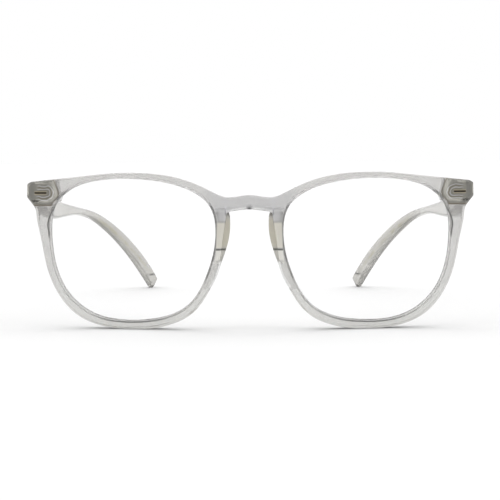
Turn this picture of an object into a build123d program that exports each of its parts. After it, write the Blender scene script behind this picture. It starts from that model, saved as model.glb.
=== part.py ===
from build123d import *
import os
from math import cos, radians, sin

# Clear full-rim spectacles with plano light-filter lenses, standing open on a table.
# All sizes are millimetres. X runs across the face (+X is the wearer's left), Y runs from the
# front of the rims back to the ears, Z is up. While the pieces are modelled, Y = 0 is the
# foremost point of the front; `placed` then moves them so that the middle of the overall
# depth is at Y = 0. Z = 0 is the table that the rims and the temple tips stand on.
# The left-hand piece of each pair is modelled and the right-hand one is its mirror image.

# --- driving dimensions: front -------------------------------------------------------------
OVERALL_DEPTH = 145.0        # foremost point of the front to the rearmost point of the tips
FRONT_WIDTH = 139.4          # the endpieces' ends are faced off flat at this width
FACE_RADIUS = 250.0          # horizontal curve of the front, seen from above
CROWN_RADIUS = 120.0         # vertical curve of the front, seen from the side
LENS_CENTRE_X = 36.2         # boxing centre of each lens
LENS_CENTRE_Z = 24.5
RIM_DEPTH = 3.8              # front face to back face of the rims
OUTER_FILLET = 0.9           # rounding of the front's outside edges
OPENING_FILLET = 0.35        # rounding of the lens openings' edges
FLAT_HALF_LENGTH = 3.0       # the lowest part of each rim is straight for twice this
IN_FRONT = -5.0              # a depth in front of the whole front
BEHIND = 40.0                # a depth behind every part of the front
AMPLE = 40.0                 # longer than any detail that is cut away

# Opening radii about the boxing centre, by angle from the temporal side, upwards.
LENS_RADII = {
    0: 25.4, 15: 26.7, 30: 28.1, 45: 26.9, 65: 23.8, 90: 22.0, 115: 23.1, 135: 25.8,
    150: 27.6, 170: 26.2, 200: 24.1, 225: 24.0, 250: 22.5, 270: 21.9, 300: 23.4, 330: 24.7,
}

# Outside of the front, left half, as (x, z) through which smooth curves pass.
BROW_CURVE = [
    (7.4, 40.9), (11.6, 42.6), (19.1, 45.9), (27.4, 47.8), (36.0, 48.4), (43.5, 48.2), (50.0, 47.6),
]
ENDPIECE_CORNERS = [(70.2, 45.5), (70.2, 41.3), (67.0, 37.5)]
ENDPIECE_RADII = [2.2, 1.5, 4.0]
TEMPORAL_CURVE = [
    (66.6, 34.4), (65.5, 29.2), (63.5, 19.3), (59.8, 10.5), (53.4, 3.7), (46.5, 0.9),
]
NASAL_CURVE = [(25.5, 1.2), (18.7, 4.3), (12.8, 11.5), (9.4, 20.0), (8.2, 27.7), (7.0, 35.6)]
BRIDGE_TOP = 41.5
BRIDGE_UNDERSIDE = 37.1
BRIDGE_CORNER = (5.4, 36.5)
NOTCH_ENTRY = (-0.1, 1.0)    # direction in which the nasal side reaches the notch under the bridge
NOTCH_EXIT = (-1.0, 0.15)    # direction in which the notch reaches the bridge's underside

# --- driving dimensions: lens and groove -----------------------------------------------------
LENS_THICKNESS = 1.8
LENS_DEPTH = 0.9             # front face of the rim to the front face of the lens
BEVEL_HEIGHT = 0.7           # how far the lens edge reaches into the rim's groove
BEVEL_WIDTH = 1.2
BEVEL_CHAMFER = 0.4
LENS_GAP = 0.04              # air all round the lens

# --- driving dimensions: endpiece block and hinge ----------------------------------------------
BLOCK_INNER_X = 59.2         # the block behind the endpiece that takes the hinge
BLOCK_INNER_LEAN = 8.0       # degrees that its inner side leans outwards, going up
BLOCK_BOTTOM_Z = 38.0
BLOCK_REAR_Y = 19.4          # its rear face, where the temple butts
BLOCK_START_DEPTH = 1.5      # the block starts this far behind the front's face
BLOCK_CORNER_RADIUS = 3.0    # its inner lower corner, seen from in front
BLOCK_FILLET = 0.6
HINGE_X = 63.4               # hinge axis, vertical
HINGE_Y = BLOCK_REAR_Y + 1.5  # just clear of the block
HINGE_Z = 42.2               # middle of the middle barrel
BARREL_RADIUS = 1.35
BARREL_HEIGHT = 1.3
BARREL_GAP = 0.05            # between one barrel and the next
SCREW_RADIUS = 0.6
SCREW_FIT = 0.03             # radial clearance of the screw in the barrels
HEAD_RADIUS = 1.15
HEAD_HEIGHT = 0.6
SCREWDRIVER_SLOT = (0.35, 0.3)   # width and depth
ANCHOR_FIT = 0.03            # clearance of a hinge leaf in its moulded pocket
ANCHOR_PLATE = (5.4, 1.0, 5.0)   # front leaf's plate: width, depth, height
ANCHOR_CORNER = 1.7          # rounding of the plate's inner corners
ANCHOR_X = 64.6
ANCHOR_SETBACK = 4.4         # middle of the plate to the block's rear face
ANCHOR_SLOT = (4.0, 0.75)    # groove in the plate's front that the plastic flows into
ANCHOR_SLOT_X = 65.3         # middle of the groove, which runs out at the plate's outer end
ANCHOR_SLOT_DEPTH = 0.7
WELD_GROOVE = 0.25           # width of the groove that the welded-in leaf leaves round itself
WELD_OFFSET = 0.75           # from the plate's edge to the groove
WELD_DEPTH = 3.6             # depth of the groove from the block's rear face
STEM_WIDTH = 1.6
TEMPLE_PLATE = (0.9, 6.4, 2.8)   # temple leaf's plate: width, depth, height
TEMPLE_PLATE_X = 66.8
TEMPLE_PLATE_DROP = 0.6      # plate's middle below the hinge's middle

# --- driving dimensions: temple ----------------------------------------------------------------
BUTT_GAP = 0.05              # temple's front end to the block
# Centre line and section of the temple: x, y, z, height, thickness.
TEMPLE_STATIONS = [
    (67.40, 16.5, 42.20, 5.0, 3.8),
    (67.40, 21.0, 41.45, 6.3, 3.8),
    (67.20, 28.0, 39.35, 8.3, 3.7),
    (66.80, 36.0, 37.20, 8.0, 3.4),
    (66.10, 48.0, 35.60, 6.0, 3.1),
    (65.10, 61.0, 34.90, 4.3, 2.9),
    (64.20, 74.0, 34.20, 3.2, 2.8),
    (62.90, 89.0, 32.90, 2.9, 2.7),
    (60.60, 100.0, 31.00, 3.3, 2.7),
    (56.80, 110.5, 26.90, 4.2, 2.8),
    (52.30, 121.0, 20.90, 5.0, 2.9),
    (47.60, 131.2, 13.20, 5.7, 3.0),
    (43.60, 139.6, 5.30, 5.9, 3.0),
    (41.80, 143.2, 1.41, 5.7, 3.0),
]
SECTION_CORNER = 0.46        # corner radius of a section, as a part of its thickness
TIP_FILLET = 1.35

# --- driving dimensions: nose pads ---------------------------------------------------------------
PAD_FRONT_DEPTH = 1.6        # pad starts this far behind the front's face
PAD_MIDDLE_DEPTH = 3.8
PAD_BACK_DEPTH = 8.6
PAD_MIDDLE_Z = 24.4
PAD_HALF_HEIGHT = 12.0
PAD_SPLAY = 14.0             # degrees the pad's face opens towards the back
PAD_NOSE_CURVE = [
    (6.0, 37.0), (5.9, 34.4), (6.0, 30.2), (7.2, 24.9), (8.9, 20.0), (10.5, 15.6), (12.2, 12.5),
]
PAD_RIM_OFFSET = 0.9         # pad's outer side, measured from the lens opening
PAD_FIT = 0.03               # bond line between pad and rim


def placed(piece):
    """Move a modelled piece so that the middle of the overall depth is at Y = 0."""
    return Pos(0, -OVERALL_DEPTH / 2, 0) * piece


def mirrored(piece):
    """The same piece for the wearer's right-hand side."""
    return mirror(piece, Plane.YZ)


# --- curves and spaces that several pieces share -------------------------------------------------
def curved_slab(front_depth, back_depth):
    """The space between two depths behind the front's doubly curved outer face."""
    half_height_angle = 20.0
    half_width_angle = 19.0

    def ring_point(depth, angle):
        radius = CROWN_RADIUS - depth
        y = CROWN_RADIUS - radius * cos(radians(angle))
        return (0, y, LENS_CENTRE_Z + radius * sin(radians(angle)))

    def ring_arc(depth):
        return ThreePointArc(*(ring_point(depth, a) for a in (-half_height_angle, 0, half_height_angle)))

    outer = ring_arc(front_depth)
    inner = ring_arc(back_depth)
    profile = make_face([outer, inner, Line(outer @ 0, inner @ 0), Line(outer @ 1, inner @ 1)])
    axis = Axis((0, FACE_RADIUS, 0), (0, 0, 1))
    return revolve(profile.rotate(axis, -half_width_angle), axis, 2 * half_width_angle)


def smooth(points, start, end):
    """A curve through points that leaves and arrives in the given directions."""
    return Spline(*points, tangents=(start, end), tangent_scalars=(1, 1))


def upright(curves):
    """A face in the XZ plane from curves drawn with (x, z) points."""
    return make_face(Plane.XZ * Curve(curves))


def through(face, start=IN_FRONT, end=BEHIND):
    """Extrude a face in the XZ plane straight back, from one depth to another."""
    return Pos(0, start, 0) * extrude(face, end - start, dir=(0, 1, 0))


def lens_outline(grow=0.0):
    """The left lens opening, or a shape `grow` larger all round."""
    points = []
    for angle, radius in LENS_RADII.items():
        reach = radius + grow
        x = LENS_CENTRE_X + reach * cos(radians(angle))
        points.append((x, LENS_CENTRE_Z + reach * sin(radians(angle))))
    return upright([Spline(*points, periodic=True)])


def front_outline():
    """The outside shape of the front, seen from in front."""
    endpiece = FilletPolyline(BROW_CURVE[-1], *ENDPIECE_CORNERS, TEMPORAL_CURVE[0], radius=ENDPIECE_RADII)
    brow = smooth([(0, BRIDGE_TOP), *BROW_CURVE], (1, 0), endpiece % 0)
    temporal = smooth([*TEMPORAL_CURVE, (LENS_CENTRE_X + FLAT_HALF_LENGTH, 0)], endpiece % 1, (-1, 0))
    rest = Line(temporal @ 1, (LENS_CENTRE_X - FLAT_HALF_LENGTH, 0))
    nasal = smooth([rest @ 1, *NASAL_CURVE], (-1, 0), NOTCH_ENTRY)
    notch = smooth([nasal @ 1, BRIDGE_CORNER], nasal % 1, NOTCH_EXIT)
    underside = smooth([BRIDGE_CORNER, (0, BRIDGE_UNDERSIDE)], notch % 1, (-1, 0))
    half = [brow, endpiece, temporal, rest, nasal, notch, underside]
    return upright(half + [mirrored(curve) for curve in half])


def lens_edge_ring(grow, shrink):
    """The bevelled band at the lens's edge: `grow` beyond the opening, `shrink` thinner each side."""
    middle = LENS_DEPTH + LENS_THICKNESS / 2
    half_width = BEVEL_WIDTH / 2 - shrink
    band = through(lens_outline(grow)) & curved_slab(middle - half_width, middle + half_width)
    sharp_edges = [edge for edge in band.edges() if edge.geom_type != GeomType.LINE]
    return chamfer(sharp_edges, BEVEL_CHAMFER)


def block(width, depth, height, x, y, z):
    """A box by its sizes and its centre."""
    return Pos(x, y, z) * Box(width, depth, height)


def barrel(radius, height, bottom):
    """An upright cylinder on the hinge axis."""
    centre = bottom + height / 2
    return Pos(HINGE_X, HINGE_Y, centre) * Cylinder(radius, height)


# --- front frame -------------------------------------------------------------------------------
def rims_and_bridge():
    """Both rims and the bridge with rounded edges, before the hinge blocks and grooves."""
    holes = [lens_outline(), mirrored(lens_outline())]
    sheet = through(front_outline() - holes) & curved_slab(0, RIM_DEPTH)
    broad_faces = sheet.faces().sort_by(SortBy.AREA)[-2:]
    outside = [edge for face in broad_faces for edge in face.outer_wire().edges()]
    rounded = fillet(outside, OUTER_FILLET)
    broad_faces = rounded.faces().sort_by(SortBy.AREA)[-2:]
    openings = [edge for face in broad_faces for wire in face.inner_wires() for edge in wire.edges()]
    return fillet(openings, OPENING_FILLET)


def hinge_block():
    """The solid block behind the endpiece, flush with the front's outline."""
    lean = Rot(0, 0, -BLOCK_INNER_LEAN)
    from_corner = (Align.MIN, Align.CENTER)
    inner_side = Pos(BLOCK_INNER_X, BLOCK_BOTTOM_Z) * lean * Rectangle(AMPLE, AMPLE, align=from_corner)
    above = Pos(LENS_CENTRE_X, BLOCK_BOTTOM_Z) * Rectangle(AMPLE, AMPLE, align=(Align.MIN, Align.MIN))
    shape = front_outline() & (Plane.XZ * (inner_side & above))
    solid = through(shape, 0, BLOCK_REAR_Y) & curved_slab(BLOCK_START_DEPTH, BLOCK_REAR_Y)
    upright_edges = solid.edges().filter_by(Axis.Y)
    inner_corner = upright_edges.sort_by(lambda edge: edge.center().X + edge.center().Z)[0]
    solid = fillet(inner_corner, BLOCK_CORNER_RADIUS)
    rear = solid.faces().sort_by(Axis.Y)[-1]
    return fillet(rear.edges(), BLOCK_FILLET) - through(lens_outline())


def weld_groove():
    """A C-shaped groove round the leaf's plate, open at the block's rear face."""
    width = ANCHOR_PLATE[0]
    inner = anchor_outline(WELD_OFFSET)
    outer = anchor_outline(WELD_OFFSET + WELD_GROOVE)
    outer_end = Pos(ANCHOR_X + width / 2) * Rectangle(width / 2, AMPLE)
    ring = Plane.XZ * (Pos(0, HINGE_Z) * (outer - inner - outer_end))
    return through(ring, BLOCK_REAR_Y - WELD_DEPTH, BEHIND)


def make_front_frame():
    """One moulding: rims, bridge and hinge blocks, grooved for the lenses."""
    side = hinge_block()
    moulding = rims_and_bridge() + [side, mirrored(side)]
    between_ends = block(FRONT_WIDTH, 2 * AMPLE, 2 * AMPLE, 0, 0, LENS_CENTRE_Z)
    hollows = [lens_edge_ring(BEVEL_HEIGHT, 0), front_leaf(ANCHOR_FIT), weld_groove()]
    return (moulding & between_ends) - hollows - [mirrored(hollow) for hollow in hollows]


# --- lenses --------------------------------------------------------------------------------------
def make_lens():
    """A curved plano lens with a bevelled edge that sits in the rim's groove."""
    plate = through(lens_outline(-LENS_GAP)) & curved_slab(LENS_DEPTH, LENS_DEPTH + LENS_THICKNESS)
    return plate + lens_edge_ring(BEVEL_HEIGHT - LENS_GAP, LENS_GAP)


# --- nose pads -----------------------------------------------------------------------------------
def make_nose_pad():
    """A drop-shaped pad bonded to the inner side and the back of the rim."""
    nose_side = smooth(PAD_NOSE_CURVE, (0, -1), (0.5, -1))
    far_x = LENS_CENTRE_X
    top_z = PAD_NOSE_CURVE[0][1]
    bottom_z = PAD_NOSE_CURVE[-1][1]
    corners = Polyline(nose_side @ 1, (far_x, bottom_z), (far_x, top_z), nose_side @ 0)
    shape = upright([nose_side, corners]) - lens_outline(PAD_RIM_OFFSET)
    splay = (sin(radians(PAD_SPLAY)), cos(radians(PAD_SPLAY)), 0)
    swept = Pos(0, PAD_FRONT_DEPTH, 0) * extrude(shape, 2 * PAD_BACK_DEPTH, dir=splay)
    within = through(shape)
    drop = Ellipse(PAD_BACK_DEPTH - PAD_MIDDLE_DEPTH, PAD_HALF_HEIGHT)
    drop_space = extrude(Plane.YZ * Pos(PAD_MIDDLE_DEPTH, PAD_MIDDLE_Z) * drop, far_x)
    rim = through(front_outline()) & curved_slab(0, RIM_DEPTH + PAD_FIT)
    return (swept & within & drop_space) - Pos(-PAD_FIT, 0, -PAD_FIT) * rim


# --- hinges --------------------------------------------------------------------------------------
def barrel_bottoms():
    """Lower faces of the lower, middle and upper barrels."""
    step = BARREL_HEIGHT + BARREL_GAP
    middle = HINGE_Z - BARREL_HEIGHT / 2
    return middle - step, middle, middle + step


def anchor_outline(grow=0.0):
    """The plate seen from in front, with its inner corners rounded, about the hinge's height."""
    width, _, height = ANCHOR_PLATE
    sheet = Pos(ANCHOR_X) * Rectangle(width + 2 * grow, height + 2 * grow)
    inner_corners = sheet.vertices().sort_by(Axis.X)[:2]
    return fillet(inner_corners, ANCHOR_CORNER + grow)


def front_leaf(grow=0.0):
    """Anchor plate in the block, and two stems that end in the lower and upper barrels.

    With `grow` it is the space that the leaf needs in the plastic.
    """
    extra = 2 * grow
    depth = ANCHOR_PLATE[1]
    plate_y = BLOCK_REAR_Y - ANCHOR_SETBACK
    front_y = plate_y - depth / 2 - grow
    sheet = Plane.XZ * (Pos(0, HINGE_Z) * anchor_outline(grow))
    leaf = through(sheet, front_y, front_y + depth + extra)
    slot_length, slot_height = ANCHOR_SLOT
    leaf -= block(slot_length - extra, 2 * ANCHOR_SLOT_DEPTH, slot_height - extra,
                  ANCHOR_SLOT_X, front_y, HINGE_Z)
    lower, _, upper = barrel_bottoms()
    for bottom in (lower, upper):
        stem_length = HINGE_Y - plate_y
        stem_z = bottom + BARREL_HEIGHT / 2
        leaf += block(STEM_WIDTH + extra, stem_length, BARREL_HEIGHT + extra,
                      HINGE_X, plate_y + stem_length / 2, stem_z)
        leaf += barrel(BARREL_RADIUS + grow, BARREL_HEIGHT + extra, bottom - grow)
    return leaf


def temple_leaf(grow=0.0):
    """Anchor plate in the temple, and one arm that ends in the middle barrel."""
    extra = 2 * grow
    width, depth, height = TEMPLE_PLATE
    plate_y = HINGE_Y - STEM_WIDTH / 2 + depth / 2
    plate_z = HINGE_Z - TEMPLE_PLATE_DROP
    leaf = block(width + extra, depth + extra, height + extra, TEMPLE_PLATE_X, plate_y, plate_z)
    _, middle, _ = barrel_bottoms()
    arm_length = TEMPLE_PLATE_X - HINGE_X
    leaf += block(arm_length, STEM_WIDTH + extra, BARREL_HEIGHT + extra,
                  HINGE_X + arm_length / 2, HINGE_Y, HINGE_Z)
    return leaf + barrel(BARREL_RADIUS + grow, BARREL_HEIGHT + extra, middle - grow)


def screw_bore():
    """The hole through all three barrels."""
    lower, _, _ = barrel_bottoms()
    return barrel(SCREW_RADIUS + SCREW_FIT, 6 * BARREL_HEIGHT, lower - BARREL_HEIGHT)


def make_hinge_screw():
    """Cheese-head screw: the hinge's pin, with a slot for the screwdriver."""
    lower, _, upper = barrel_bottoms()
    seat = upper + BARREL_HEIGHT + BARREL_GAP / 2
    screw = barrel(SCREW_RADIUS, seat - lower, lower) + barrel(HEAD_RADIUS, HEAD_HEIGHT, seat)
    slot_width, slot_depth = SCREWDRIVER_SLOT
    head_top = seat + HEAD_HEIGHT
    return screw - block(slot_width, 3 * HEAD_RADIUS, 2 * slot_depth, HINGE_X, HINGE_Y, head_top)


# --- temples -------------------------------------------------------------------------------------
def temple_sections():
    """Rounded sections square to the temple's centre line."""
    centres = [Vector(x, y, z) for x, y, z, _, _ in TEMPLE_STATIONS]
    line = Spline(*centres)
    faces = []
    for centre, (_, _, _, height, thickness) in zip(centres, TEMPLE_STATIONS):
        along = line.tangent_at(line.param_at_point(centre))
        across = along.cross(Vector(0, 0, 1)).normalized()
        plane = Plane(origin=centre, x_dir=across, z_dir=along)
        faces.append(plane * RectangleRounded(thickness, height, SECTION_CORNER * thickness))
    return faces


def make_temple():
    """Temple with its bent-down tip; its front end is square to the block."""
    arm = loft(temple_sections())
    tip_face = arm.faces().sort_by(Axis.Z)[0]
    arm = fillet(tip_face.edges(), TIP_FILLET)
    waste_y = BLOCK_REAR_Y + BUTT_GAP - AMPLE / 2
    front_waste = block(AMPLE, AMPLE, AMPLE, HINGE_X, waste_y, HINGE_Z)
    return arm - front_waste - temple_leaf(ANCHOR_FIT)


# --- write one file per piece ------------------------------------------------------------------------
def make_parts():
    """Every piece by name, in its place."""
    bore = screw_bore()
    left = {
        "lens_left": make_lens(),
        "nose_pad_left": make_nose_pad(),
        "front_hinge_left": front_leaf() - bore,
        "temple_hinge_left": temple_leaf() - bore,
        "hinge_screw_left": make_hinge_screw(),
        "temple_left": make_temple(),
    }
    right = {name.replace("left", "right"): mirrored(piece) for name, piece in left.items()}
    return {"front_frame": make_front_frame(), **left, **right}


if __name__ == "__main__":
    os.makedirs("parts", exist_ok=True)
    for name, piece in make_parts().items():
        export_step(placed(piece), f"parts/{name}.step")
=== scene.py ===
"""Looks of the clear spectacles: moulded crystal plastic, coated lenses, pads and hinges."""

from math import pi, radians

import bpy
from mathutils import Euler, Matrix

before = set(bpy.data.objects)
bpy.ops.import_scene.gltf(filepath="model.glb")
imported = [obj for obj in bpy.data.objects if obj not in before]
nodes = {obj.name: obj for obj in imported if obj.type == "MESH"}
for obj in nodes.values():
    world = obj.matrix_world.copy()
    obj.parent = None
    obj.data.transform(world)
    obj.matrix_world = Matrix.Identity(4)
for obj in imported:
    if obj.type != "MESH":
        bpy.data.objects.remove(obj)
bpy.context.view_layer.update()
SIDES = ("left", "right")

# --- view, in metres and degrees -----------------------------------------------------------------
FRONT_PLANE_Y = -0.0609          # the endpieces' front
CAMERA_DISTANCE = 0.420          # from that plane
CAMERA_SIDE = 0.006              # to the wearer's left of the middle
CAMERA_HEIGHT = 0.0524
CAMERA_DROP = 3.865              # below the horizon
CAMERA_TURN = 0.82               # back towards the middle
CAMERA_ROLL = -0.27
FOCAL_LENGTH = 96.7              # mm
SENSOR_WIDTH = 36.0              # mm
CLIP = (0.01, 100)               # nearest and farthest distance that the camera sees

# --- light ---------------------------------------------------------------------------------------
WORLD_WHITE = (1.0, 1.0, 1.0, 1.0)
OVERHEAD = 1.35                  # brightness of the soft box above; the backdrop is 1
OVERHEAD_EDGE = (0.35, 0.8)      # upward part of the direction over which it fades in
CAMERA_SIDE_LIGHT = 0.40         # brightness of the studio behind the camera
CAMERA_SIDE_EDGE = (-0.75, -0.1)     # backward part of the direction over which it fades out
LIGHT_BOUNCES = 24
GLOSSY_BOUNCES = 8
FLOOR_SIZE = 40
FLOOR_DROP = 0.00002             # keeps the floor just below the rims that stand on it
FLOOR_SHADES = (0.97, 0.99)
FLOOR_NOISE = 4.0

# --- colours -------------------------------------------------------------------------------------
WHITE = (1.0, 1.0, 1.0, 1.0)
FRONT_TINT = (0.87, 0.86, 0.845, 1)
ARM_TINT = (0.78, 0.765, 0.725, 1)
PAD_TINT = (0.95, 0.93, 0.87, 1)
VIOLET_TINT = (0.78, 0.77, 0.82, 1)
LOW_TINT = (0.95, 0.945, 0.92, 1)
BRIDGE_TINT = (0.79, 0.785, 0.785, 1)
SEAT_TINT = (0.88, 0.85, 0.76, 1)
SEAT_FOOT_TINT = (1.0, 0.98, 0.92, 1)
BLOCK_TINT = (0.74, 0.725, 0.66, 1)
RING_DARK = (0.22, 0.19, 0.14, 1)
BROWN_TINT = (0.48, 0.46, 0.36, 1)
PAD_TOP_TINT = (0.82, 0.78, 0.66, 1)
DARK_LINE = (0.10, 0.10, 0.09, 1)
AMBER = (0.42, 0.36, 0.24, 1)
BLACK = (0.005, 0.005, 0.005, 1)
GREY_DEPTH = (0.50, 0.49, 0.47, 1)   # what light turns into on its way through the plastic
OLIVE_DEPTH = (0.50, 0.49, 0.44, 1)
YELLOW_DEPTH = (0.7, 0.66, 0.5, 1)
COATING_COLOURS = ((0.86, 0.88, 1.0, 1), (0.93, 0.86, 1.0, 1))
NICKEL_COLOURS = ((0.40, 0.385, 0.34, 1), (0.58, 0.56, 0.50, 1))
STEEL_COLOURS = ((0.60, 0.60, 0.60, 1), (0.78, 0.78, 0.78, 1))

# --- plastic and metal ---------------------------------------------------------------------------
PLASTIC_INDEX = 1.49
PLASTIC_GLOSS = (0.04, 0.10)     # roughness of its smoothest and dullest places
FLOW_SCALE = 90.0
FLOW_LIFT = 1.03                 # how much lighter the flow pattern's lighter places are
METAL_GRAIN = 900.0
METAL_BUMP = 0.0001              # m
METAL_BUMP_STRENGTH = 0.15
METAL_SPREAD = (0.7, 1.3)        # smoothest and roughest places, as parts of the roughness
COATING_INDEX = 1.18
COATING_ROUGHNESS = 0.02
COATING_NOISE = 30.0
COATING_SHARE = 0.6              # strength of the lens coating's reflection
GLINT_SHARE = 0.75               # how strongly a painted glint shows the white behind it
FRONTAL_VIEW = (-0.97, -0.93)    # Y of the direction to the viewer: fully frontal, no longer frontal

# --- places of the patterns, in mm ---------------------------------------------------------------
# Across is the distance from the middle, height is above the table, depth is the row's Y.
PATH_SCALE = 80.0                # largest result of a path
# Lines as (height, across).
BLOCK_EDGE = [(36.0, 63.4), (38.5, 61.9), (41.6, 59.6), (44.3, 60.3), (46.2, 61.1), (49.0, 62.3)]
NASAL_LINE = [(10.0, 13.0), (16.0, 11.0), (20.0, 9.6), (25.0, 8.6), (30.0, 8.2), (36.0, 7.4)]
PAD_SEAT_LINE = [(18.0, 10.2), (20.0, 9.7), (25.0, 9.0), (30.0, 8.8), (36.0, 8.6)]
TEMPORAL_LINE = [(26.0, 62.3), (29.8, 62.5), (32.6, 62.8), (36.8, 61.4), (40.0, 59.5)]
# Lines as (across, height) and (depth, height).
BRIDGE_STRIP = [(0.0, 37.5), (3.0, 37.2), (5.4, 36.7), (7.0, 35.2)]
ARM_LINE = [(16.0, 32.0), (27.5, 30.0), (38.0, 25.8), (48.5, 19.6), (58.7, 12.4), (67.0, 5.0)]

GROOVE_ACROSS = (63.3, 67.3)     # the groove in the anchor's plate, as the plastic shows it
GROOVE_HEIGHTS = (41.95, 42.45)
GROOVE_LIP_HEIGHTS = (41.65, 42.75)
PLATE_DEPTHS = (-60.0, -57.0)    # the same groove on the plate itself
PLATE_GROOVE_ACROSS = (63.1, 70.0)
PLATE_GROOVE_HEIGHTS = (41.8, 42.6)
PLATE_AMBER_ACROSS = (62.7, 70.0)
PLATE_AMBER_HEIGHTS = (41.5, 43.0)
HINGE_HEIGHT = 42.2
RING_PITCH = 0.95                # from one painted ring to the next
RING_PHASE = 1.5                 # radians; puts the first dark line 0.7 mm from the groove
RING_WOBBLE = 0.18
RING_NOISE = 420.0
RING_REACH = (0.6, 2.4)          # distances from the groove between which the lines show
RING_ACROSS = (60.0, 66.4)
BLOCK_HEIGHTS = (38.4, 48.0)
BLOCK_FOOT_ACROSS = (61.5, 69.0)
BLOCK_GLINT = (39.6, (66.2, 68.0))   # height, and how far across
LOW_RIM_FADE = (6.0, 20.0)
BRIDGE_FADE = (10.0, 18.0)
BRIDGE_HEIGHTS = (36.5, 43.0)
BRIDGE_LINE = (7.3, (35.5, 40.5))    # across, and its heights
BRIDGE_STRIP_ACROSS = (1.2, 6.4)
BRIDGE_MARK = (0.0, 37.3, 1.2)   # across, height and radius of a painted dark patch, seen only from in front
NOTCH_MARK = (6.4, 35.6, 0.7)
TEMPORAL_HEIGHTS = (28.5, 37.5)
PAD_DARK_REFLECTION_HEIGHT = 24.9           # a thin painted dark line, a reflection of the pad's rear shape, crosses pad and rim here
OVER_PAD_FADE = (8.5, 11.0)
OVER_PAD_HEIGHTS = (33.4, 37.2)
SEAT_HALF_WIDTH = 1.25
SEAT_TOP_HEIGHTS = (25.2, 33.2)
SEAT_FOOT_HEIGHTS = (20.5, 25.0)
PAD_GLINT_HEIGHTS = (12.5, 21.5)
PAD_TOP_HEIGHTS = (25.5, 34.5)
PAD_END_GLINT_HEIGHTS = (10.0, 21.3)
ARM_STREAK_DEPTHS = (28.0, 64.0)
ARM_NOISE = 260.0
TIP_GLINT = (64.0, 9.5)          # depth and height of a painted highlight near the tip
TIP_REFRACTION_LINE = ((65.5, 70.0), 5.5)   # depths and height of a painted dark refraction line at the tip's rounded end

PATTERN_MIDDLE = (0.3, 0.7)      # the part of a noise's range that a ramp follows

# --- meshes --------------------------------------------------------------------------------------
WELD_DISTANCE = 0.000002
CREASE = 28                      # degrees between faces, above which an edge stays sharp


# --- node helpers ---------------------------------------------------------------------------------
# What computes a colour or a number gives the output that carries it.
def new_material(name):
    """An empty node material: the material, its tree and its output node."""
    material = bpy.data.materials.new(name)
    material.use_nodes = True
    tree = material.node_tree
    tree.nodes.clear()
    return material, tree, tree.nodes.new("ShaderNodeOutputMaterial")


def add(tree, kind, **inputs):
    """A node of a kind with its inputs set or connected; names use _ for spaces."""
    node = tree.nodes.new(kind)
    for name, value in inputs.items():
        feed(tree, value, node.inputs[name.replace("_", " ")])
    return node


def feed(tree, value, target):
    """Connect another node's output to an input, or set the input to a constant."""
    if isinstance(value, bpy.types.NodeSocket):
        tree.links.new(value, target)
    else:
        target.default_value = value


def grey(value):
    return (value, value, value, 1)


def noise(tree, scale, detail=2.0, stretch=(1, 1, 1)):
    """Noise in the row frame, so that it doesn't swim over a piece."""
    place = tree.nodes.new("ShaderNodeTexCoord")
    mapping = add(tree, "ShaderNodeMapping", Vector=place.outputs["Object"], Scale=stretch)
    pattern = add(tree, "ShaderNodeTexNoise", Vector=mapping.outputs["Vector"],
                  Scale=scale, Detail=detail)
    return pattern.outputs["Fac"]


def ramp(tree, pattern, low, high):
    """A colour between two colours, following the middle part of a pattern's range."""
    node = add(tree, "ShaderNodeValToRGB", Fac=pattern)
    ends = node.color_ramp.elements
    for end, position, colour in zip(ends, PATTERN_MIDDLE, (low, high)):
        end.position = position
        end.color = colour
    return node.outputs["Color"]


def calculate(tree, operation, *operands):
    """The result of a sum on numbers and other nodes' outputs."""
    node = tree.nodes.new("ShaderNodeMath")
    node.operation = operation
    for operand, target in zip(operands, node.inputs):
        feed(tree, operand, target)
    return node.outputs[0]


def span(tree, value, limits, at_low, at_high, interpolation="SMOOTHSTEP"):
    """A number that runs from one value to another while another number passes two limits."""
    low, high = limits
    node = add(tree, "ShaderNodeMapRange", Value=value, From_Min=low, From_Max=high,
               To_Min=at_low, To_Max=at_high)
    node.interpolation_type = interpolation
    return node.outputs["Result"]


def path(tree, value, points):
    """A smooth curve through (value, result) points, as a function of a value; all in mm."""
    lowest, highest = points[0][0], points[-1][0]
    node = tree.nodes.new("ShaderNodeFloatCurve")
    line = node.mapping.curves[0]
    for index, (at, result) in enumerate(points):
        place = ((at - lowest) / (highest - lowest), result / PATH_SCALE)
        if index == 0:
            line.points[0].location = place
        elif index == len(points) - 1:
            line.points[-1].location = place
        else:
            line.points.new(*place)
    node.mapping.update()
    feed(tree, span(tree, value, (lowest, highest), 0.0, 1.0, "LINEAR"), node.inputs["Value"])
    return calculate(tree, "MULTIPLY", node.outputs["Value"], PATH_SCALE)


# --- masks: 1 where a pattern is, 0 elsewhere --------------------------------------------------------
def bell(tree, value, middle, half_width):
    """1 where a value is at the middle, falling smoothly to 0 at the half width."""
    away = calculate(tree, "ABSOLUTE", calculate(tree, "SUBTRACT", value, middle))
    return span(tree, away, (0.0, half_width), 1.0, 0.0)


def gate(tree, value, limits, soft):
    """1 while a value is between two limits, with soft ends."""
    low, high = limits
    rise = span(tree, value, (low - soft, low + soft), 0.0, 1.0)
    fall = span(tree, value, (high - soft, high + soft), 1.0, 0.0)
    return calculate(tree, "MULTIPLY", rise, fall)


def all_of(tree, first, *others):
    """Where every mask is on."""
    result = first
    for mask in others:
        result = calculate(tree, "MULTIPLY", result, mask)
    return result


def frontal(tree):
    """1 where a piece is looked at from straight in front, 0 from other sides."""
    geometry = tree.nodes.new("ShaderNodeNewGeometry")
    towards_viewer = add(tree, "ShaderNodeSeparateXYZ", Vector=geometry.outputs["Incoming"])
    return span(tree, towards_viewer.outputs["Y"], FRONTAL_VIEW, 1.0, 0.0)


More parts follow.
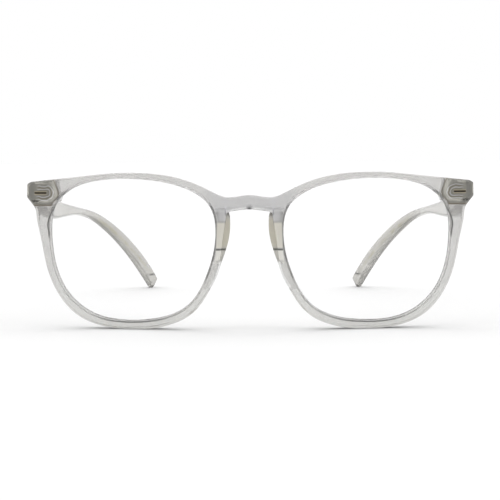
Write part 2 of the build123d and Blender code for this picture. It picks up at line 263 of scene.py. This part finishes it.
def place_of(tree):
    """The shaded point in mm, with the distance from the middle as x, and the frontal mask."""
    place = tree.nodes.new("ShaderNodeTexCoord")
    scaled = add(tree, "ShaderNodeMapping", Vector=place.outputs["Object"], Scale=(1000, 1000, 1000))
    split = add(tree, "ShaderNodeSeparateXYZ", Vector=scaled.outputs["Vector"])
    across = calculate(tree, "ABSOLUTE", split.outputs["X"])
    return {"x": across, "y": split.outputs["Y"], "z": split.outputs["Z"], "frontal": frontal(tree)}


def spot(tree, at, across, height, radius):
    """A round patch, seen from in front, through the depth of a piece."""
    beside = bell(tree, at["x"], across, radius)
    above = bell(tree, at["z"], height, radius)
    return all_of(tree, beside, above, at["frontal"])


def mixed(tree, mask, first, second):
    """A colour or number that goes from the first to the second as a mask goes from 0 to 1."""
    node = tree.nodes.new("ShaderNodeMix")
    node.data_type = "FLOAT" if isinstance(second, float) else "RGBA"
    enabled_inputs = [i for i in node.inputs if i.enabled]
    for target, given in zip(enabled_inputs, (mask, first, second)):
        feed(tree, given, target)
    return [o for o in node.outputs if o.enabled][0]


# --- patterns of the front, the temples, the pads and the hinges --------------------------------------
# Accents are (mask, colour, cloudiness) in the order in which they cover each other.
def contour_rings(tree, at):
    """Painted highlights and dark lines in C-shaped rings round the anchor, where the moulded pocket
    bends the light, from the distance to its groove.
    """
    wobble = span(tree, noise(tree, RING_NOISE, 1.0), PATTERN_MIDDLE, -RING_WOBBLE, RING_WOBBLE)
    beside = calculate(tree, "MAXIMUM", calculate(tree, "SUBTRACT", GROOVE_ACROSS[0], at["x"]), 0.0)
    above = calculate(tree, "SUBTRACT", at["z"], HINGE_HEIGHT)
    squares = [calculate(tree, "MULTIPLY", side, side) for side in (beside, above)]
    distance = calculate(tree, "SQRT", calculate(tree, "ADD", *squares))
    uneven = calculate(tree, "ADD", distance, wobble)
    turns = calculate(tree, "MULTIPLY", uneven, 2 * pi / RING_PITCH)
    wave = calculate(tree, "COSINE", calculate(tree, "SUBTRACT", turns, RING_PHASE))
    in_reach = gate(tree, uneven, RING_REACH, soft=0.2)
    near = all_of(tree, in_reach, gate(tree, at["x"], RING_ACROSS, soft=0.6))
    dark = span(tree, wave, (-0.2, -1.0), 0.0, 1.0)
    light = span(tree, wave, (0.3, 1.0), 0.0, 1.0)
    return all_of(tree, dark, near), all_of(tree, light, near)


def block_accents(tree, at):
    """The greyer block round the hinge: painted highlight rings and dark rings, the anchor's groove in
    painted black shade, and its brown edges.
    """
    x, z = at["x"], at["z"]
    beyond_edge = calculate(tree, "SUBTRACT", x, path(tree, z, BLOCK_EDGE))
    high = gate(tree, z, BLOCK_HEIGHTS, soft=0.3)
    in_block = all_of(tree, span(tree, beyond_edge, (0.0, 0.4), 0.0, 1.0), high)
    edge = all_of(tree, bell(tree, beyond_edge, 0.0, half_width=0.4), high)
    at_foot = bell(tree, z, BLOCK_HEIGHTS[0], half_width=0.5)
    foot = all_of(tree, at_foot, gate(tree, x, BLOCK_FOOT_ACROSS, soft=0.4))
    painted_dark_ring, painted_highlight_ring = contour_rings(tree, at)
    at_groove = all_of(tree, gate(tree, x, GROOVE_ACROSS, soft=0.2), at["frontal"])
    lip = all_of(tree, at_groove, gate(tree, z, GROOVE_LIP_HEIGHTS, soft=0.2))
    # Painted black shade inside the anchor's groove, seen only from in front
    groove_shade = all_of(tree, at_groove, gate(tree, z, GROOVE_HEIGHTS, soft=0.1))
    return [
        (in_block, BLOCK_TINT, 0.30),
        (painted_dark_ring, RING_DARK, 0.75),
        (painted_highlight_ring, WHITE, 0.45),
        (lip, AMBER, 0.8),
        (groove_shade, BLACK, 1.0),
        (edge, RING_DARK, 0.7),
        (foot, RING_DARK, 0.7),
    ]


def seat_accents(tree, at):
    """The pad's yellowish seat seen through the rim, crossed by a painted dark reflection line; above
    it the rim hides the pad's top.
    """
    x, z = at["x"], at["z"]
    near_bridge = span(tree, x, OVER_PAD_FADE, 1.0, 0.0)
    above = all_of(tree, near_bridge, gate(tree, z, OVER_PAD_HEIGHTS, soft=0.6))
    from_seat = calculate(tree, "SUBTRACT", x, path(tree, z, PAD_SEAT_LINE))
    on_seat = gate(tree, from_seat, (-SEAT_HALF_WIDTH, SEAT_HALF_WIDTH), soft=0.3)
    top = all_of(tree, on_seat, gate(tree, z, SEAT_TOP_HEIGHTS, soft=0.5))
    foot = all_of(tree, on_seat, gate(tree, z, SEAT_FOOT_HEIGHTS, soft=0.4))
    line = all_of(tree, on_seat, bell(tree, z, PAD_DARK_REFLECTION_HEIGHT, half_width=0.5), at["frontal"])
    return [
        (above, BRIDGE_TINT, 0.75),
        (top, SEAT_TINT, 0.85),
        (foot, SEAT_FOOT_TINT, 0.85),
        (line, DARK_LINE, 0.7),
    ]


def front_accents(tree, at):
    """Tints and dark lines of the clear front; the patches at the bridge and the notch are painted dark
    marks.
    """
    x, z = at["x"], at["z"]
    low_rim = span(tree, z, LOW_RIM_FADE, 1.0, 0.0)
    bridge = all_of(tree, span(tree, x, BRIDGE_FADE, 1.0, 0.0), gate(tree, z, BRIDGE_HEIGHTS, soft=0.6))
    line_across, line_heights = BRIDGE_LINE
    on_line = bell(tree, x, line_across, half_width=0.3)
    bridge_line = all_of(tree, on_line, gate(tree, z, line_heights, soft=0.5))
    on_temporal = bell(tree, x, path(tree, z, TEMPORAL_LINE), half_width=0.45)
    temporal_line = all_of(tree, on_temporal, gate(tree, z, TEMPORAL_HEIGHTS, soft=1.0))
    return [
        (low_rim, LOW_TINT, 0.26),
        (bridge, BRIDGE_TINT, 0.26),
        *seat_accents(tree, at),
        *block_accents(tree, at),
        (bridge_line, VIOLET_TINT, 0.26),
        (temporal_line, DARK_LINE, 0.5),
        # Painted dark marks at the bridge and the notch, seen only from in front
        (spot(tree, at, *BRIDGE_MARK), BLACK, 0.95),
        (spot(tree, at, *NOTCH_MARK), DARK_LINE, 0.5),
    ]


def front_painted_glints(tree, at):
    """Painted glints: see-through bright strips beside the pads' lower ends, under the bridge and under
    the blocks, standing for reflections seen from in front.
    """
    x, z = at["x"], at["z"]
    beside_pad = bell(tree, x, path(tree, z, NASAL_LINE), half_width=2.2)
    pad_glint = all_of(tree, beside_pad, gate(tree, z, PAD_GLINT_HEIGHTS, soft=0.6), at["frontal"])
    along_strip = bell(tree, z, path(tree, x, BRIDGE_STRIP), half_width=0.5)
    strip_glint = all_of(tree, along_strip, gate(tree, x, BRIDGE_STRIP_ACROSS, soft=0.4), at["frontal"])
    height, across = BLOCK_GLINT
    at_height = bell(tree, z, height, half_width=0.6)
    glint_below_block = all_of(tree, at_height, gate(tree, x, across, soft=0.5), at["frontal"])
    return [pad_glint, strip_glint, glint_below_block]


def arm_accents(tree, at):
    """A patchy brown streak low on the temple, a painted highlight at its end and a painted dark
    refraction line at the tip.
    """
    y, z = at["y"], at["z"]
    patchy = span(tree, noise(tree, ARM_NOISE, 3.0), (0.35, 0.65), 0.35, 1.0)
    along = bell(tree, z, path(tree, y, ARM_LINE), half_width=1.6)
    streak = all_of(tree, along, gate(tree, y, ARM_STREAK_DEPTHS, soft=6.0), patchy)
    depths, height = TIP_REFRACTION_LINE
    tip_dark_refraction = all_of(tree, bell(tree, z, height, half_width=0.7), gate(tree, y, depths, soft=1.0))
    depth, height = TIP_GLINT
    glint = all_of(tree, bell(tree, z, height, half_width=1.1), bell(tree, y, depth, half_width=1.4))
    return [(streak, BROWN_TINT, 0.6), (tip_dark_refraction, DARK_LINE, 0.5), (glint, WHITE, 0.2)]


def pad_accents(tree, at):
    """The pad is yellowest at its top, and a thin painted dark line, a reflection of its rear shape,
    crosses it.
    """
    top = gate(tree, at["z"], PAD_TOP_HEIGHTS, soft=1.5)
    line = all_of(tree, bell(tree, at["z"], PAD_DARK_REFLECTION_HEIGHT, half_width=0.6), at["frontal"])
    return [(top, PAD_TOP_TINT, 0.65), (line, DARK_LINE, 0.7)]


def pad_painted_glints(tree, at):
    """The pad's lower end is bright: a see-through painted glint, standing for light reflected inside
    the pad.
    """
    return [all_of(tree, gate(tree, at["z"], PAD_END_GLINT_HEIGHTS, soft=0.8), at["frontal"])]


def plate_accents(tree, at):
    """The groove in the leaf's plate gets painted black shade, between amber edges."""
    on_plate = gate(tree, at["y"], PLATE_DEPTHS, soft=0.1)
    amber_across = gate(tree, at["x"], PLATE_AMBER_ACROSS, soft=0.3)
    amber = all_of(tree, on_plate, amber_across, gate(tree, at["z"], PLATE_AMBER_HEIGHTS, soft=0.2))
    groove_across = gate(tree, at["x"], PLATE_GROOVE_ACROSS, soft=0.2)
    groove_shade = all_of(tree, on_plate, groove_across, gate(tree, at["z"], PLATE_GROOVE_HEIGHTS, soft=0.1))
    return [(amber, AMBER, 1.0), (groove_shade, BLACK, 1.0)]


def nothing(_tree, _at):
    """No pattern."""
    return []


# --- materials ------------------------------------------------------------------------------------
def crystal_plastic(name, tint, depth_tint, density, milk, accents, painted_glints=nothing):
    """Clear moulded plastic: glossy, slightly uneven, greyer the more of it there is.

    `milk` is the share of light that the slightly cloudy surface scatters. `accents` makes
    (mask, colour, cloudiness) for the lines and tints inside the plastic, some of them painted
    highlights and painted dark lines, and `painted_glints` makes masks of painted glints:
    bright places that show the white behind them straight through, standing for reflections.
    """
    material, tree, out = new_material(name)
    flow = noise(tree, FLOW_SCALE, 3.0, (1, 0.35, 1))
    lighter = (*[min(1, c * FLOW_LIFT) for c in tint[:3]], 1)
    colour = ramp(tree, flow, tint, lighter)
    cloud = milk
    at = place_of(tree)
    for mask, accent_colour, accent_cloud in accents(tree, at):
        colour = mixed(tree, mask, colour, accent_colour)
        cloud = mixed(tree, mask, cloud, accent_cloud)
    surface = add(tree, "ShaderNodeBsdfPrincipled", IOR=PLASTIC_INDEX, Base_Color=colour,
                  Transmission_Weight=calculate(tree, "SUBTRACT", 1.0, cloud),
                  Roughness=ramp(tree, flow, *[grey(shade) for shade in PLASTIC_GLOSS]))
    shown = surface.outputs["BSDF"]
    # Painted glints: the mask lets the white behind show straight through, standing for bright
    # reflections.
    for mask in painted_glints(tree, at):
        glint = tree.nodes.new("ShaderNodeMixShader")
        straight_through = tree.nodes.new("ShaderNodeBsdfTransparent").outputs["BSDF"]
        share = calculate(tree, "MULTIPLY", mask, GLINT_SHARE)
        for given, target in zip((share, shown, straight_through), glint.inputs):
            feed(tree, given, target)
        shown = glint.outputs["Shader"]
    haze = add(tree, "ShaderNodeVolumeAbsorption", Color=depth_tint, Density=density)
    feed(tree, shown, out.inputs["Surface"])
    feed(tree, haze.outputs["Volume"], out.inputs["Volume"])
    return material


def filter_lens():
    """Clear lens with a faint violet-blue coating reflection on its outer surfaces."""
    material, tree, out = new_material("filter_lens")
    clear = add(tree, "ShaderNodeBsdfTransparent", Color=WHITE)
    coating = ramp(tree, noise(tree, COATING_NOISE), *COATING_COLOURS)
    gloss = add(tree, "ShaderNodeBsdfGlossy", Color=coating, Roughness=COATING_ROUGHNESS)
    fresnel = add(tree, "ShaderNodeFresnel", IOR=COATING_INDEX).outputs["Fac"]
    geometry = tree.nodes.new("ShaderNodeNewGeometry")
    outer_side = calculate(tree, "SUBTRACT", COATING_SHARE, geometry.outputs["Backfacing"])
    outer_side.node.use_clamp = True
    mix = tree.nodes.new("ShaderNodeMixShader")
    share = calculate(tree, "MULTIPLY", outer_side, fresnel)
    for given, target in zip((share, clear.outputs["BSDF"], gloss.outputs["BSDF"]), mix.inputs):
        feed(tree, given, target)
    feed(tree, mix.outputs["Shader"], out.inputs["Surface"])
    return material


def metal(name, colours, rough, accents=nothing):
    """Tumbled metal: brightness and gloss vary a little over the piece."""
    material, tree, out = new_material(name)
    grain = noise(tree, METAL_GRAIN, 4.0)
    colour = ramp(tree, grain, *colours)
    for mask, accent_colour, _ in accents(tree, place_of(tree)):
        colour = mixed(tree, mask, colour, accent_colour)
    bump = add(tree, "ShaderNodeBump", Height=grain, Strength=METAL_BUMP_STRENGTH, Distance=METAL_BUMP)
    surface = add(tree, "ShaderNodeBsdfPrincipled", Metallic=1.0, Base_Color=colour,
                  Roughness=ramp(tree, grain, *[grey(rough * part) for part in METAL_SPREAD]),
                  Normal=bump.outputs["Normal"])
    feed(tree, surface.outputs["BSDF"], out.inputs["Surface"])
    return material


# --- putting the materials on ---------------------------------------------------------------------
def smooth_group(crease_degrees):
    """Geometry nodes that shade a mesh smooth, except across edges sharper than the crease."""
    group = bpy.data.node_groups.new("smooth_to_crease", "GeometryNodeTree")
    group.interface.new_socket("Geometry", in_out="INPUT", socket_type="NodeSocketGeometry")
    group.interface.new_socket("Geometry", in_out="OUTPUT", socket_type="NodeSocketGeometry")
    start = group.nodes.new("NodeGroupInput")
    end = group.nodes.new("NodeGroupOutput")
    drop = add(group, "GeometryNodeRemoveAttribute", Geometry=start.outputs[0], Name="custom_normal")
    faces = add(group, "GeometryNodeSetShadeSmooth", Geometry=drop.outputs["Geometry"])
    faces.domain = "FACE"
    angle = group.nodes.new("GeometryNodeInputMeshEdgeAngle").outputs["Unsigned Angle"]
    gentle = group.nodes.new("FunctionNodeCompare")
    gentle.data_type = "FLOAT"
    gentle.operation = "LESS_THAN"
    feed(group, angle, gentle.inputs[0])
    feed(group, radians(crease_degrees), gentle.inputs[1])
    edges = add(group, "GeometryNodeSetShadeSmooth", Geometry=faces.outputs["Geometry"],
                Shade_Smooth=gentle.outputs["Result"])
    edges.domain = "EDGE"
    feed(group, edges.outputs["Geometry"], end.inputs[0])
    return group


def dress(node_name, material):
    """Give a CAD node one material, and shade its curved faces smooth."""
    node = nodes[node_name]
    node.data.materials.clear()
    node.data.materials.append(material)
    weld = node.modifiers.new("weld", "WELD")
    weld.merge_threshold = WELD_DISTANCE
    node.modifiers.new("smooth", "NODES").node_group = smooth_to_crease


# --- stage, light and camera ----------------------------------------------------------------------
def make_floor():
    """A pale floor that runs to the horizon."""
    bpy.ops.mesh.primitive_plane_add(size=FLOOR_SIZE, location=(0, 0, -FLOOR_DROP))
    floor = bpy.context.object
    floor.name = "floor"
    material, tree, out = new_material("floor_white")
    pale = ramp(tree, noise(tree, FLOOR_NOISE), *[grey(shade) for shade in FLOOR_SHADES])
    surface = add(tree, "ShaderNodeBsdfDiffuse", Color=pale)
    feed(tree, surface.outputs["BSDF"], out.inputs["Surface"])
    floor.data.materials.append(material)


def make_light():
    """White surroundings, a soft box above and a dimmer side towards the camera."""
    world = bpy.data.worlds.new("studio")
    bpy.context.scene.world = world
    world.use_nodes = True
    tree = world.node_tree
    tree.nodes.clear()
    out = tree.nodes.new("ShaderNodeOutputWorld")
    place = tree.nodes.new("ShaderNodeTexCoord")
    direction = add(tree, "ShaderNodeSeparateXYZ", Vector=place.outputs["Generated"])
    overhead = span(tree, direction.outputs["Z"], OVERHEAD_EDGE, 1.0, OVERHEAD)
    behind_camera = span(tree, direction.outputs["Y"], CAMERA_SIDE_EDGE, CAMERA_SIDE_LIGHT, 1.0)
    background = add(tree, "ShaderNodeBackground", Color=WORLD_WHITE,
                     Strength=calculate(tree, "MULTIPLY", overhead, behind_camera))
    feed(tree, background.outputs["Background"], out.inputs["Surface"])


def make_camera():
    """A camera in front of the glasses, a little above the brow and looking slightly down."""
    data = bpy.data.cameras.new("camera")
    data.sensor_width = SENSOR_WIDTH
    data.lens = FOCAL_LENGTH
    data.clip_start, data.clip_end = CLIP
    camera = bpy.data.objects.new("camera", data)
    bpy.context.scene.collection.objects.link(camera)
    camera.location = (CAMERA_SIDE, FRONT_PLANE_Y - CAMERA_DISTANCE, CAMERA_HEIGHT)
    look = Euler((radians(90 - CAMERA_DROP), 0, radians(CAMERA_TURN))).to_matrix()
    roll = Euler((0, 0, radians(CAMERA_ROLL))).to_matrix()
    camera.rotation_euler = (look @ roll).to_euler()
    bpy.context.scene.camera = camera


def set_look():
    """Colour handling and enough light bounces for clear pieces."""
    scene = bpy.context.scene
    scene.view_settings.view_transform = "Standard"
    scene.cycles.max_bounces = LIGHT_BOUNCES
    scene.cycles.transmission_bounces = LIGHT_BOUNCES
    scene.cycles.transparent_max_bounces = LIGHT_BOUNCES
    scene.cycles.glossy_bounces = GLOSSY_BOUNCES
    scene.cycles.use_denoising = True
    scene.cycles.caustics_refractive = False
    scene.cycles.caustics_reflective = False


smooth_to_crease = smooth_group(CREASE)
plastic = crystal_plastic("crystal_plastic", FRONT_TINT, GREY_DEPTH, density=60.0, milk=0.24,
                          accents=front_accents, painted_glints=front_painted_glints)
arm_plastic = crystal_plastic("arm_plastic", ARM_TINT, OLIVE_DEPTH, density=30.0, milk=0.4,
                              accents=arm_accents)
pad = crystal_plastic("pad_plastic", PAD_TINT, YELLOW_DEPTH, density=20.0, milk=0.5,
                      accents=pad_accents, painted_glints=pad_painted_glints)
lens = filter_lens()
hinge = metal("hinge_metal", NICKEL_COLOURS, rough=0.3, accents=plate_accents)
screw = metal("screw_steel", STEEL_COLOURS, rough=0.25)

dress("front_frame", plastic)
for side in SIDES:
    dress(f"temple_{side}", arm_plastic)
    dress(f"nose_pad_{side}", pad)
    dress(f"lens_{side}", lens)
    dress(f"front_hinge_{side}", hinge)
    dress(f"temple_hinge_{side}", hinge)
    dress(f"hinge_screw_{side}", screw)

make_floor()
make_light()
make_camera()
set_look()
